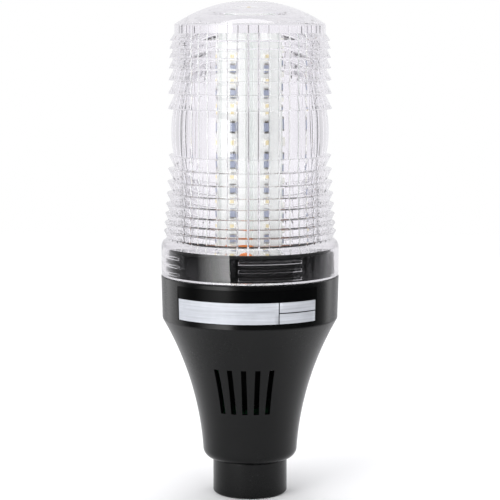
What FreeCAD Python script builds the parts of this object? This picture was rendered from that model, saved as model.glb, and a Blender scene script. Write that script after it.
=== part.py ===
import FreeCAD, Part
import math
import os
import re

import Sketcher
from FreeCAD import Placement, Rotation, Vector

# Driving sizes: millimetres, degrees, counts and plain ratios
driving_sizes = {
    # Pole socket
    "pole_diameter": 22.0,
    "pole_clearance": 0.1,
    "pole_depth": 22.0,
    "mouth_chamfer": 0.8,
    "socket_diameter": 36.2,
    "socket_height": 17.4,
    "neck_diameter": 29.0,
    "neck_clearance": 0.2,
    "neck_spare": 1.0,
    "wire_hole_diameter": 16.0,
    "nut_across_flats": 34.0,
    "nut_height": 6.0,
    "clamp_screw_diameter": 5.0,
    "clamp_screw_level": 9.0,
    "clamp_screw_spread": 90.0,
    "clamp_screw_inset": 1.0,
    "clamp_screw_drive": 2.5,
    "clamp_drive_depth": 2.5,
    # Bell housing
    "foot_diameter": 46.0,
    "foot_rounding": 5.0,
    "floor_thickness": 3.0,
    "housing_height": 90.4,
    "housing_wall": 2.4,
    "flare_sag": 3.8,
    "band_height": 20.9,
    "band_lip": 0.1,
    "band_draft": 0.5,
    "rim_wall": 2.2,
    "seat_depth": 3.4,
    "seat_clearance": 0.2,
    "ledge_width": 2.5,
    "ledge_height": 2.0,
    "slot_count": 5,
    "slot_spacing": 12.0,
    "slot_width": 2.5,
    "slot_height": 22.5,
    "slot_level": 43.5,
    # Label on the band
    "label_height": 16.0,
    "label_rise": 2.7,
    "label_span": 99.0,
    "label_turn": 2.5,
    "label_thickness": 0.2,
    "label_glue": 0.03,
    "field_height": 10.0,
    "field_rise": 0.2,
    "field_margin": 1.1,
    "field_split": 21.2,
    "field_line": 0.5,
    "field_thickness": 0.1,
    # Lens base and its thread
    "base_gap": 1.7,
    "base_height": 12.0,
    "base_wall": 2.2,
    "base_rim_width": 3.0,
    "base_rim_height": 1.6,
    "flange_thickness": 3.0,
    "plate_thickness": 2.2,
    "plate_hole_diameter": 19.0,
    "seal_width": 1.6,
    "seal_inset": 0.5,
    "seal_stand": 1.3,
    "seal_groove": 0.4,
    "seal_clearance": 0.05,
    "thread_groups": 4,
    "thread_bars": 3,
    "thread_turn": 18.9,
    "bar_span": 43.0,
    "bar_level": 1.7,
    "bar_pitch": 3.8,
    "bar_thickness": 1.5,
    "bar_gap": 0.3,
    "rib_gap": 0.4,
    "rib_span": 38.0,
    "rib_lead": 0.5,
    "thread_clearance": 0.35,
    "weld_overlap": 0.2,
    "stop_span": 3.5,
    "stop_clearance": 1.5,
    # Posts, legs and the screws through them
    "post_count": 3,
    "post_diameter": 7.6,
    "post_inset": 0.6,
    "post_drop": 4.4,
    "base_screw_diameter": 3.0,
    "base_screw_bite": 11.0,
    "leg_seat": 3.0,
    "leg_bore_diameter": 5.6,
    "screw_head_diameter": 5.0,
    "screw_head_height": 2.0,
    "thread_fit": 0.05,
    "pilot_spare": 0.5,
    "cut_spare": 1.0,
    # Drum lens
    "collar_diameter": 86.0,
    "collar_gap": 0.3,
    "collar_wall": 2.0,
    "collar_height": 17.7,
    "shoulder_rise": 4.2,
    "lower_rings": 8,
    "lower_ring_first": 6.6,
    "lower_ring_ratio": 0.92,
    "upper_rings": 7,
    "upper_ring_first": 7.25,
    "upper_ring_ratio": 0.88,
    "tip_inset": 1.3,
    "tip_spread": 2.5,
    "tip_step": 0.3,
    "tip_draw": 1.0,
    "flank_slope": 0.48,
    "barrel_height": 22.1,
    "barrel_inset": 2.5,
    "barrel_bulge": 1.2,
    "cap_inset": 2.3,
    "cap_height": 4.5,
    "dome_rise": 11.2,
    "dome_wall": 2.6,
    "dome_step": 7.8,
    "dome_steps": 3,
    "dome_slope": 0.6,
    "lens_wall": 3.3,
    "flute_count": 44,
    "flute_depth": 0.3,
    "crest_width": 0.7,
    "flute_turn": 4.0,
    # Boards, pillar and LEDs
    "board_thickness": 1.6,
    "base_board_diameter": 48.0,
    "pillar_turn": 5.0,
    "pillar_across_flats": 28.6,
    "pillar_wall": 1.8,
    "pillar_floor": 3.0,
    "pillar_drop": 4.8,
    "pillar_screw_circle": 11.8,
    "pillar_screw_bite": 2.6,
    "strip_width": 13.0,
    "strip_thickness": 1.2,
    "strip_drop": 2.0,
    "led_rows": 8,
    "led_pitch": 11.6,
    "led_first": 7.0,
    "led_width": 3.2,
    "led_height": 2.8,
    "led_depth": 1.4,
    "resistor_width": 2.6,
    "resistor_height": 4.6,
    "resistor_depth": 0.9,
    "top_led_count": 3,
    "top_led_circle": 7.0,
    "disc_diameter": 7.0,
    "disc_thickness": 2.6,
    "disc_circle": 20.6,
    # Driver board and what it carries
    "driver_width": 34.0,
    "driver_foot": 34.0,
    "driver_drop": 7.0,
    "tongue_width": 12.0,
    "tongue_grip": 3.5,
    "edge_socket_length": 16.0,
    "edge_socket_width": 7.0,
    "edge_socket_height": 6.2,
    "edge_socket_slot": 4.0,
    "lug_width": 7.0,
    "lug_depth": 5.0,
    "lug_spacing": 24.0,
    "lug_overlap": 8.0,
    "driver_screw_bite": 4.0,
    "buzzer_diameter": 24.0,
    "buzzer_depth": 9.0,
    "buzzer_wall": 1.4,
    "buzzer_recess": 2.0,
    "buzzer_plate_thickness": 0.4,
    "terminal_ways": 3,
    "terminal_pitch": 5.0,
    "terminal_depth": 10.0,
    "terminal_height": 10.0,
    "terminal_level": 70.0,
    "wire_entry_diameter": 2.6,
    "wire_entry_depth": 6.0,
    "terminal_screw_diameter": 3.4,
    "terminal_screw_length": 3.0,
    "reservoir_diameter": 10.0,
    "reservoir_length": 14.0,
    "reservoir_level": 92.0,
    "chip_width": 6.0,
    "chip_height": 5.0,
    "chip_depth": 1.6,
    "chip_level": 84.0,
}

doc = FreeCAD.newDocument("SignalLight")
sheet = doc.addObject("Spreadsheet::Sheet", "Sizes")
for row, (alias, number) in enumerate(driving_sizes.items(), 1):
    sheet.set(f"A{row}", alias)
    sheet.set(f"B{row}", str(number))
    sheet.setAlias(f"B{row}", alias)
doc.recompute()

# Finished sub-parts, in the order they are made
sub_parts = []


# A formula with each size's name turned into its cell
def bound(formula):
    def cell(word):
        name = word.group(0)
        return f"Sizes.{name}" if name in driving_sizes else name

    return re.sub(r"[a-z_]+", cell, formula)


# The value of a formula
def measure(formula):
    return float(sheet.evalExpression(bound(formula)))


# A count kept in the sheet
def count_of(alias):
    return int(round(measure(alias)))


# Radii, each a formula in the driving sizes
bore_radius = "(pole_diameter / 2 + pole_clearance)"
socket_radius = "(socket_diameter / 2)"
neck_radius = "(neck_diameter / 2)"
foot_radius = "(foot_diameter / 2)"
collar_radius = "(collar_diameter / 2)"
band_radius = f"({collar_radius} + band_lip)"
band_foot_radius = f"({band_radius} - band_draft)"
rim_inner = f"({band_radius} - rim_wall)"
ledge_inner = f"({rim_inner} - ledge_width)"
collar_inner = f"({collar_radius} - collar_wall)"
base_radius = f"({collar_inner} - base_gap)"
base_inner = f"({base_radius} - base_wall)"
seal_outer = f"({base_radius} - seal_inset)"
seal_inner = f"({seal_outer} - seal_width)"
bar_tip = f"({base_radius} + bar_gap)"
rib_tip = f"({collar_inner} - rib_gap)"
rib_root = f"({base_radius} - weld_overlap)"
post_circle = f"({base_inner} - post_inset - post_diameter / 2)"
screw_hole = "(base_screw_diameter / 2 + seat_clearance)"
screw_pilot = "(base_screw_diameter / 2 + thread_fit)"

# Heights above the foot of the socket
floor_top = "(socket_height + floor_thickness)"
foot_top = "(socket_height + foot_rounding)"
rim_level = "(socket_height + housing_height)"
band_level = f"({rim_level} - band_height)"
ledge_level = f"({rim_level} - seat_depth)"
post_top = f"({ledge_level} - post_drop)"
base_top = f"({rim_level} + base_height)"
plate_top = f"({base_top} - base_rim_height)"
plate_foot = f"({plate_top} - plate_thickness)"
board_top = f"({plate_top} + board_thickness)"
seal_top = f"({base_top} + seal_stand)"
lens_foot = f"({rim_level} + collar_gap)"
ceiling_level = f"({seal_top} + collar_gap)"
lower_end = f"({lens_foot} + collar_height)"


# How far the first rings of a series reach, each ring a fixed ratio of the one before
def ring_reach(side, rings):
    return f"({side}_ring_first * (1 - {side}_ring_ratio ^ {rings}) / (1 - {side}_ring_ratio))"


barrel_foot = f"({lower_end} + {ring_reach('lower', 'lower_rings')})"
barrel_top = f"({barrel_foot} + barrel_height)"
upper_end = f"({barrel_top} + {ring_reach('upper', 'upper_rings')})"
cap_level = f"({upper_end} + cap_height)"
apex_level = f"({cap_level} + dome_rise)"
pillar_top = f"({upper_end} - pillar_drop)"


# The direction, in degrees from +X, of a place given in degrees round from the front
def heading(formula):
    return f"({formula} - 90)"


# The origin plane or axis of a body
def origin_of(body, role):
    return next(item for item in body.Origin.OriginFeatures if item.Role == role)


def new_body(label):
    body = doc.addObject("PartDesign::Body", label)
    body.Label = label
    return body


# A sketch on one of the body's planes, turned about the vertical axis and pushed along its normal
def new_sketch(body, name, role, turn=None, push=None):
    sketch = body.newObject("Sketcher::SketchObject", name)
    sketch.AttachmentSupport = [(origin_of(body, role), "")]
    sketch.MapMode = "FlatFace"
    if turn:
        sketch.AttachmentOffset = Placement(Vector(), Rotation(Vector(0, 1, 0), measure(turn)))
        sketch.setExpression("AttachmentOffset.Rotation.Angle", bound(turn))
    if push:
        sketch.AttachmentOffset = Placement(Vector(0, 0, measure(push)), Rotation())
        sketch.setExpression("AttachmentOffset.Base.z", bound(push))
    return sketch


# Hold one point of a sketch at two formulas
def hold_point(sketch, edge, end, across, along):
    for formula, kind, axis in ((across, "DistanceX", -2), (along, "DistanceY", -1)):
        if formula == "0":
            sketch.addConstraint(Sketcher.Constraint("PointOnObject", edge, end, axis))
            continue
        index = sketch.addConstraint(Sketcher.Constraint(kind, edge, end, measure(formula)))
        sketch.setExpression(f"Constraints[{index}]", bound(formula))


# The arc from one point to another, with its centre on the left or the right of the way
def arc_between(here, there, radius, side):
    chord = there - here
    normal = Vector(-chord.y, chord.x, 0).normalize()
    rise = math.sqrt(radius ** 2 - (chord.Length / 2) ** 2)
    centre = here + chord * 0.5 + normal * (rise if side == "left" else -rise)
    ends = (here, there) if side == "left" else (there, here)
    angles = [math.atan2(point.y - centre.y, point.x - centre.x) for point in ends]
    return Part.ArcOfCircle(Part.Circle(centre, Vector(0, 0, 1), radius), *angles)


# A closed outline: corners are pairs of formulas, with a radius and a side where an arc follows
def add_outline(sketch, corners):
    first = sketch.GeometryCount
    spots = [Vector(measure(corner[0]), measure(corner[1]), 0) for corner in corners]
    ends = []
    for index, corner in enumerate(corners):
        here = spots[index]
        there = spots[(index + 1) % len(corners)]
        if len(corner) == 2:
            sketch.addGeometry(Part.LineSegment(here, there))
            ends.append((1, 2))
        else:
            sketch.addGeometry(arc_between(here, there, measure(corner[2]), corner[3]))
            ends.append((1, 2) if corner[3] == "left" else (2, 1))
    for index, corner in enumerate(corners):
        edge = first + index
        before = index - 1 if index else len(corners) - 1
        joint = ("Coincident", first + before, ends[before][1], edge, ends[index][0])
        sketch.addConstraint(Sketcher.Constraint(*joint))
        hold_point(sketch, edge, ends[index][0], corner[0], corner[1])
        if len(corner) > 2:
            bend = sketch.addConstraint(Sketcher.Constraint("Radius", edge, measure(corner[2])))
            sketch.setExpression(f"Constraints[{bend}]", bound(corner[2]))


def add_box(sketch, left, right, foot, top):
    add_outline(sketch, [(left, foot), (right, foot), (right, top), (left, top)])


def add_circle(sketch, across, along, radius):
    centre = Vector(measure(across), measure(along), 0)
    edge = sketch.addGeometry(Part.Circle(centre, Vector(0, 0, 1), measure(radius)))
    hold_point(sketch, edge, 3, across, along)
    index = sketch.addConstraint(Sketcher.Constraint("Radius", edge, measure(radius)))
    sketch.setExpression(f"Constraints[{index}]", bound(radius))


# A regular hexagon round the origin, with one corner at the given direction
def add_hexagon(sketch, across_flats, turn):
    corners = []
    for side in range(6):
        angle = f"({turn} + {60 * side})"
        reach = f"({across_flats} / 2 / cos(30))"
        corners.append((f"{reach} * cos({angle})", f"{reach} * sin({angle})"))
    add_outline(sketch, corners)


# Turn a sketch about the vertical axis, whole or over a span that lies evenly about its plane
def turn_about(body, sketch, name, span=None):
    feature = body.newObject("PartDesign::Revolution", name)
    feature.Profile = sketch
    feature.ReferenceAxis = (sketch, ["V_Axis"])
    feature.Angle = 360
    if span:
        feature.Midplane = True
        feature.setExpression("Angle", bound(span))
    return feature


def extrude(body, sketch, name, length, kind="Pad", back=False):
    feature = body.newObject(f"PartDesign::{kind}", name)
    feature.Profile = sketch
    feature.Reversed = back
    feature.setExpression("Length", bound(length))
    return feature


# Copies of a feature about the vertical axis
def repeat_about(body, feature, name, copies, span="360"):
    pattern = body.newObject("PartDesign::PolarPattern", name)
    pattern.Originals = [feature]
    pattern.Axis = (origin_of(body, "Z_Axis"), [""])
    pattern.setExpression("Angle", bound(span))
    pattern.setExpression("Occurrences", bound(copies))
    body.Tip = pattern
    return pattern


# A plain block centred on X, its first face at the given depth and its foot at the given level
def make_block(label, width, depth, height, near, foot):
    block = doc.addObject("Part::Box", label)
    block.Label = label
    for side, formula in (("Length", width), ("Width", depth), ("Height", height)):
        block.setExpression(side, bound(formula))
    block.setExpression("Placement.Base.x", bound(f"-{width} / 2"))
    block.setExpression("Placement.Base.y", bound(near))
    block.setExpression("Placement.Base.z", bound(foot))
    return block


# A round rod that points to the back, from the given depth on
def make_rod(label, radius, length, across, near, level):
    rod = doc.addObject("Part::Cylinder", label)
    rod.Label = label
    rod.Placement = Placement(Vector(), Rotation(Vector(1, 0, 0), -90))
    rod.setExpression("Radius", bound(radius))
    rod.setExpression("Height", bound(length))
    rod.setExpression("Placement.Base.x", bound(across))
    rod.setExpression("Placement.Base.y", bound(near))
    rod.setExpression("Placement.Base.z", bound(level))
    return rod


def cut_away(label, base, tools):
    tool = tools[0]
    if len(tools) > 1:
        tool = doc.addObject("Part::MultiFuse", f"{label}_tools")
        tool.Shapes = tools
    result = doc.addObject("Part::Cut", label)
    result.Label = label
    result.Base = base
    result.Tool = tool
    return result


# Copies of one solid, each at its own place, as one node
def make_group(label, solid, places):
    group = doc.addObject("Part::Feature", label)
    group.Label = label
    group.Shape = Part.makeCompound([solid.transformed(place.toMatrix()) for place in places])
    return group


# A screw whose head starts at the origin and whose shank points down
def screw_solid(head_height, shank_radius, shank_length):
    head = Part.makeCylinder(measure("screw_head_diameter / 2"), head_height)
    shank = Part.makeCylinder(shank_radius, shank_length, Vector(), Vector(0, 0, -1))
    return head.fuse(shank).removeSplitter()


# A place at a radius and a direction, turned to face outwards along X
def place_round(radius, angle, level):
    spot = Vector(radius * math.cos(math.radians(angle)), radius * math.sin(math.radians(angle)), level)
    return Placement(spot, Rotation(Vector(0, 0, 1), angle))


def make_pole_socket():
    body = new_body("pole_socket")
    profile = new_sketch(body, "socket_profile", "XZ_Plane")
    neck_top = f"({floor_top} + nut_height + neck_spare)"
    wire_radius = "(wire_hole_diameter / 2)"
    add_outline(profile, [
        (f"{bore_radius} + mouth_chamfer", "0"),
        (f"{socket_radius} - mouth_chamfer", "0"),
        (socket_radius, "mouth_chamfer"),
        (socket_radius, "socket_height"),
        (neck_radius, "socket_height"),
        (neck_radius, neck_top),
        (wire_radius, neck_top),
        (wire_radius, "pole_depth"),
        (bore_radius, "pole_depth"),
        (bore_radius, "mouth_chamfer"),
    ])
    turn_about(body, profile, "socket_turned")
    tapped = new_sketch(body, "tapped_hole", "XZ_Plane", turn="-clamp_screw_spread / 2")
    add_circle(tapped, "0", "clamp_screw_level", "clamp_screw_diameter / 2 + thread_fit")
    hole = extrude(body, tapped, "tapped_cut", f"{socket_radius} + cut_spare", "Pocket")
    repeat_about(body, hole, "tapped_pair", "2", "clamp_screw_spread")
    return body


def make_socket_nut():
    body = new_body("socket_nut")
    outline = new_sketch(body, "nut_outline", "XY_Plane", push=floor_top)
    add_hexagon(outline, "nut_across_flats", "0")
    add_circle(outline, "0", "0", f"{neck_radius} + thread_fit")
    extrude(body, outline, "nut_pad", "nut_height")
    return body


def make_clamp_screws():
    tip = measure(bore_radius) + measure("collar_gap")
    end = measure(socket_radius) - measure("clamp_screw_inset")
    out = Vector(1, 0, 0)
    stud = Part.makeCylinder(measure("clamp_screw_diameter / 2"), end - tip, Vector(tip, 0, 0), out)
    drive = Part.makeCylinder(measure("clamp_screw_drive / 2"), measure("clamp_drive_depth"),
                              Vector(end - measure("clamp_drive_depth"), 0, 0), out)
    screw = stud.cut(drive)
    spread = measure("clamp_screw_spread")
    places = [place_round(0, 90 + side * spread / 2, measure("clamp_screw_level")) for side in (-1, 1)]
    return make_group("pole_clamp_screws", screw, places)


def make_bell_housing():
    body = new_body("bell_housing")
    profile = new_sketch(body, "housing_profile", "XZ_Plane")
    hole_radius = f"({neck_radius} + neck_clearance)"
    flare_run = f"({band_foot_radius} - {foot_radius})"
    flare_climb = f"({band_level} - {foot_top})"
    flare_chord = f"sqrt({flare_run} ^ 2 + {flare_climb} ^ 2)"
    flare_radius = f"(({flare_chord} ^ 2 / 4 + flare_sag ^ 2) / (2 * flare_sag))"
    band_inner = f"({band_foot_radius} - housing_wall)"
    foot_inner = f"({foot_radius} - housing_wall)"
    ledge_foot = f"({ledge_level} - ledge_height)"
    add_outline(profile, [
        (hole_radius, "socket_height"),
        (f"{foot_radius} - foot_rounding", "socket_height", "foot_rounding", "left"),
        (foot_radius, foot_top, flare_radius, "right"),
        (band_foot_radius, band_level),
        (band_radius, rim_level),
        (rim_inner, rim_level),
        (rim_inner, ledge_level),
        (ledge_inner, ledge_level),
        (ledge_inner, ledge_foot),
        (band_inner, f"{ledge_foot} - ledge_width"),
        (band_inner, band_level, flare_radius, "left"),
        (foot_inner, foot_top),
        (foot_inner, floor_top),
        (hole_radius, floor_top),
    ])
    turn_about(body, profile, "housing_turned")
    # Each post runs down to where its outer side is half-way into the wall of the flare
    rise = f"({flare_radius} - flare_sag)"
    centre_run = f"(({foot_radius} + {band_foot_radius}) / 2 + {rise} * {flare_climb} / {flare_chord})"
    centre_level = f"(({foot_top} + {band_level}) / 2 - {rise} * {flare_run} / {flare_chord})"
    post_run = f"({centre_run} - {post_circle} - post_diameter / 2 - housing_wall / 2)"
    post_foot = f"({centre_level} + sqrt({flare_radius} ^ 2 - {post_run} ^ 2))"
    posts = new_sketch(body, "post_outline", "XY_Plane", push=post_top)
    add_circle(posts, "0", post_circle, "post_diameter / 2")
    post = extrude(body, posts, "post", f"{post_top} - {post_foot}", back=True)
    repeat_about(body, post, "post_ring", "post_count")
    pilots = new_sketch(body, "pilot_outline", "XY_Plane", push=post_top)
    add_circle(pilots, "0", post_circle, screw_pilot)
    pilot = extrude(body, pilots, "pilot", "base_screw_bite + pilot_spare", "Pocket")
    repeat_about(body, pilot, "pilot_ring", "post_count")
    slots = new_sketch(body, "slot_outline", "XZ_Plane", turn="-slot_spacing * (slot_count - 1) / 2")
    add_box(slots, "-slot_width / 2", "slot_width / 2", "slot_level", "slot_level + slot_height")
    slot = extrude(body, slots, "slot", band_radius, "Pocket", back=True)
    repeat_about(body, slot, "slot_row", "slot_count", "slot_spacing * (slot_count - 1)")
    return body


# Film that lies along the band: its foot above the band's foot, its height, gap and thickness
def film_outline(sketch, rise, height, gap, thickness):
    lean = "(band_draft / band_height)"
    foot = f"({band_level} + {rise})"
    low = f"({band_foot_radius} + ({rise}) * {lean} + {gap})"
    high = f"({low} + ({height}) * {lean})"
    top = f"({foot} + {height})"
    outer_low = f"({low} + {thickness})"
    outer_high = f"({high} + {thickness})"
    add_outline(sketch, [(low, foot), (outer_low, foot), (outer_high, top), (high, top)])


def make_name_label():
    body = new_body("name_label")
    profile = new_sketch(body, "label_profile", "XZ_Plane", turn=heading("label_turn"))
    film_outline(profile, "label_rise", "label_height", "label_glue", "label_thickness")
    turn_about(body, profile, "label_film", "label_span")
    return body


# A bare print field on the label, between two directions
def make_label_field(name, start, end, rise, height):
    body = new_body(name)
    profile = new_sketch(body, f"{name}_profile", "XZ_Plane", turn=heading(f"({start} + {end}) / 2"))
    gap = "(2 * label_glue + label_thickness)"
    film_outline(profile, rise, height, gap, "field_thickness")
    turn_about(body, profile, f"{name}_film", f"{end} - {start}")
    return body


# One wide field, and two narrow ones beside it with a line between them
def make_label_fields():
    margin = f"(field_margin / {band_radius} * 180 / pi)"
    half_line = f"(field_line / 2 / {band_radius} * 180 / pi)"
    left = f"(label_turn - label_span / 2 + {margin})"
    right = f"(label_turn + label_span / 2 - {margin})"
    split = "(label_turn + field_split)"
    foot = "(label_rise + field_rise)"
    half = "((field_height - field_line) / 2)"
    upper_foot = f"({foot} + {half} + field_line)"
    fields = [
        make_label_field("wide_field", left, f"({split} - {half_line})", foot, "field_height"),
        make_label_field("lower_field", f"({split} + {half_line})", right, foot, half),
        make_label_field("upper_field", f"({split} + {half_line})", right, upper_foot, half),
    ]
    doc.recompute()
    group = doc.addObject("Part::Feature", "label_fields")
    group.Label = "label_fields"
    group.Shape = Part.makeCompound([field.Shape.Solids[0] for field in fields])
    return group


def make_lens_base():
    body = new_body("lens_base")
    profile = new_sketch(body, "base_profile", "XZ_Plane")
    hole_radius = "(plate_hole_diameter / 2)"
    flange_top = f"({ledge_level} + flange_thickness)"
    groove_level = f"({base_top} - seal_groove)"
    rim_edge = f"({base_radius} - base_rim_width)"
    add_outline(profile, [
        (hole_radius, plate_foot),
        (base_inner, plate_foot),
        (base_inner, ledge_level),
        (f"{rim_inner} - seat_clearance", ledge_level),
        (f"{rim_inner} - seat_clearance", flange_top),
        (base_radius, flange_top),
        (base_radius, base_top),
        (f"{seal_outer} + seal_clearance", base_top),
        (f"{seal_outer} + seal_clearance", groove_level),
        (f"{seal_inner} - seal_clearance", groove_level),
        (f"{seal_inner} - seal_clearance", base_top),
        (rim_edge, base_top),
        (rim_edge, plate_top),
        (hole_radius, plate_top),
    ])
    turn_about(body, profile, "base_turned")
    rib_turn = "thread_turn + (rib_span - bar_span) / 2 + rib_lead"
    ribs = new_sketch(body, "rib_profile", "XZ_Plane", turn=rib_turn)
    for rib in range(count_of("thread_bars") - 1):
        bar_top = f"({lens_foot} + bar_level + {rib} * bar_pitch + bar_thickness)"
        rib_foot = f"{bar_top} + thread_clearance"
        rib_top = f"{bar_top} + bar_pitch - bar_thickness - thread_clearance"
        add_box(ribs, rib_root, rib_tip, rib_foot, rib_top)
    rib_arc = turn_about(body, ribs, "rib_arc", "rib_span")
    repeat_about(body, rib_arc, "rib_groups", "thread_groups")
    stop_turn = "thread_turn - bar_span / 2 - stop_clearance - stop_span / 2"
    stops = new_sketch(body, "stop_profile", "XZ_Plane", turn=stop_turn)
    add_box(stops, rib_root, rib_tip, f"{lens_foot} + bar_level", groove_level)
    stop_arc = turn_about(body, stops, "stop_arc", "stop_span")
    repeat_about(body, stop_arc, "stop_ring", "thread_groups")
    legs = new_sketch(body, "leg_outline", "XY_Plane", push=post_top)
    add_circle(legs, "0", post_circle, "post_diameter / 2")
    leg = extrude(body, legs, "leg", f"{plate_foot} - {post_top} + weld_overlap")
    repeat_about(body, leg, "leg_ring", "post_count")
    wells = new_sketch(body, "well_outline", "XY_Plane", push=plate_top)
    add_circle(wells, "0", post_circle, "leg_bore_diameter / 2")
    well = extrude(body, wells, "well", f"{plate_top} - {post_top} - leg_seat", "Pocket")
    repeat_about(body, well, "well_ring", "post_count")
    shanks = new_sketch(body, "shank_outline", "XY_Plane", push=plate_top)
    add_circle(shanks, "0", post_circle, screw_hole)
    shank = extrude(body, shanks, "shank_hole", f"{plate_top} - {post_top}", "Pocket")
    repeat_about(body, shank, "shank_ring", "post_count")
    pillar_holes = new_sketch(body, "pillar_holes", "XY_Plane", push=plate_top)
    for side in ("", "-"):
        add_circle(pillar_holes, "0", f"{side}pillar_screw_circle", screw_hole)
    extrude(body, pillar_holes, "pillar_hole_cut", "plate_thickness", "Pocket")
    lugs = new_sketch(body, "lug_outline", "XZ_Plane", push="-board_thickness / 2")
    lug_foot = f"({plate_foot} - driver_drop - lug_overlap)"
    for side in ("", "-"):
        left = f"({side}lug_spacing / 2 - lug_width / 2)"
        add_box(lugs, left, f"{left} + lug_width", lug_foot, f"{plate_foot} + weld_overlap")
    extrude(body, lugs, "lugs", "lug_depth", back=True)
    lug_holes = new_sketch(body, "lug_holes", "XZ_Plane", push="-board_thickness / 2")
    for side in ("", "-"):
        add_circle(lug_holes, f"{side}lug_spacing / 2", f"{lug_foot} + lug_overlap / 2", screw_pilot)
    extrude(body, lug_holes, "lug_pilots", "driver_screw_bite + pilot_spare", "Pocket")
    return body


def make_lens_seal():
    body = new_body("lens_seal")
    profile = new_sketch(body, "seal_profile", "XZ_Plane")
    add_box(profile, seal_inner, seal_outer, f"{base_top} - seal_groove", seal_top)
    turn_about(body, profile, "seal_turned")
    return body


# Outline of the lens: collar, rings, barrel and dome outside, then the stepped dome and bore inside
def lens_corners():
    lower_last = "(lower_rings - 1)"
    upper_last = "(upper_rings - 1)"
    lower_first_tip = f"({collar_radius} - tip_inset - tip_spread)"
    upper_first_tip = f"({lower_first_tip} + tip_step)"
    last_depth = f"(flank_slope * lower_ring_first * lower_ring_ratio ^ {lower_last})"
    last_root = f"({collar_radius} - tip_inset - {last_depth})"
    shoulder_run = f"({collar_radius} - {last_root})"
    shoulder_radius = f"(({shoulder_run} ^ 2 + shoulder_rise ^ 2) / (2 * {shoulder_run}))"
    corners = [
        (collar_inner, lens_foot),
        (collar_radius, lens_foot),
        (collar_radius, f"{lower_end} - shoulder_rise", shoulder_radius, "left"),
    ]
    for ring in reversed(range(count_of("lower_rings"))):
        tip = f"({lower_first_tip} + tip_spread * {ring} / {lower_last})"
        depth = f"(flank_slope * lower_ring_first * lower_ring_ratio ^ {ring})"
        corners.append((f"{tip} - {depth}", f"{barrel_foot} - {ring_reach('lower', ring + 1)}"))
        corners.append((tip, f"{barrel_foot} - {ring_reach('lower', ring)}"))
    barrel_edge = f"({lower_first_tip} - barrel_inset)"
    barrel_radius = "(((barrel_height / 2) ^ 2 + barrel_bulge ^ 2) / (2 * barrel_bulge))"
    corners.append((barrel_edge, barrel_foot, barrel_radius, "left"))
    corners.append((barrel_edge, barrel_top))
    for ring in range(count_of("upper_rings")):
        tip = f"({upper_first_tip} - tip_draw * {ring} / {upper_last})"
        depth = f"(flank_slope * upper_ring_first * upper_ring_ratio ^ {ring})"
        corners.append((tip, f"{barrel_top} + {ring_reach('upper', ring)}"))
        corners.append((f"{tip} - {depth}", f"{barrel_top} + {ring_reach('upper', ring + 1)}"))
    cap_radius = f"({upper_first_tip} - tip_draw - cap_inset)"
    dome_radius = f"(({cap_radius} ^ 2 + dome_rise ^ 2) / (2 * dome_rise))"
    corners[-1] = (cap_radius, upper_end)
    corners.append((cap_radius, cap_level, dome_radius, "left"))
    corners.append(("0", apex_level))
    steps = count_of("dome_steps")
    core_radius = f"({barrel_edge} - lens_wall)"
    radii = [f"({core_radius} - {step} * dome_step)" for step in range(steps + 1)]
    levels = [f"({apex_level} - {dome_radius} + sqrt({dome_radius} ^ 2 - {radius} ^ 2) - dome_wall)"
              for radius in radii]
    # Each step inside the dome falls towards its outer side, by a share of what the dome falls there
    corners.append(("0", f"{levels[steps]} + dome_slope * ({apex_level} - dome_wall - {levels[steps]})"))
    for step in reversed(range(1, steps + 1)):
        fall = f"({levels[step]} - {levels[step - 1]})"
        corners.append((radii[step], levels[step]))
        corners.append((radii[step], f"{levels[step - 1]} + dome_slope * {fall}"))
    corners.append((core_radius, levels[0]))
    corners.append((core_radius, ceiling_level))
    corners.append((collar_inner, ceiling_level))
    return corners, core_radius, levels[0]


# The fluted bore: shallow flutes with narrow crests between them, from the ceiling to the dome
def flute_core(core_radius, top_level):
    flutes = count_of("flute_count")
    crest = measure(core_radius)
    valley = crest + measure("flute_depth")
    foot = measure(ceiling_level)
    pitch = 2 * math.pi / flutes
    start = math.radians(measure(heading("flute_turn")))

    def spot(radius, step):
        angle = start + step * pitch
        return Vector(radius * math.cos(angle), radius * math.sin(angle), foot)

    edges = []
    flank = measure("crest_width") / 2 / crest / pitch
    for flute in range(flutes):
        start_spot = spot(valley, flute + flank)
        end_spot = spot(valley, flute + 1 - flank)
        edges.append(Part.makeLine(spot(crest, flute), start_spot))
        edges.append(Part.Arc(start_spot, spot(valley, flute + 0.5), end_spot).toShape())
        edges.append(Part.makeLine(end_spot, spot(crest, flute + 1)))
    face = Part.Face(Part.Wire(edges))
    core = doc.addObject("Part::Feature", "flute_core")
    core.Shape = face.extrude(Vector(0, 0, measure(top_level) - foot))
    return core


def make_drum_lens():
    body = new_body("lens_blank")
    corners, core_radius, core_top = lens_corners()
    profile = new_sketch(body, "lens_profile", "XZ_Plane")
    add_outline(profile, corners)
    turn_about(body, profile, "lens_turned")
    bars = new_sketch(body, "bar_profile", "XZ_Plane", turn="thread_turn")
    for bar in range(count_of("thread_bars")):
        foot = f"({lens_foot} + bar_level + {bar} * bar_pitch)"
        add_box(bars, bar_tip, f"{collar_inner} + weld_overlap", foot, f"{foot} + bar_thickness")
    bar_arc = turn_about(body, bars, "bar_arc", "bar_span")
    repeat_about(body, bar_arc, "bar_groups", "thread_groups")
    return cut_away("drum_lens", body, [flute_core(core_radius, core_top)])


def make_base_screws():
    bite = measure("base_screw_bite") + measure("leg_seat")
    screw = screw_solid(measure("screw_head_height"), measure("base_screw_diameter / 2"), bite)
    level = measure(f"{post_top} + leg_seat")
    count = count_of("post_count")
    places = [place_round(measure(post_circle), 90 + 360 * post / count, level) for post in range(count)]
    return make_group("base_screws", screw, places)


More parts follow.
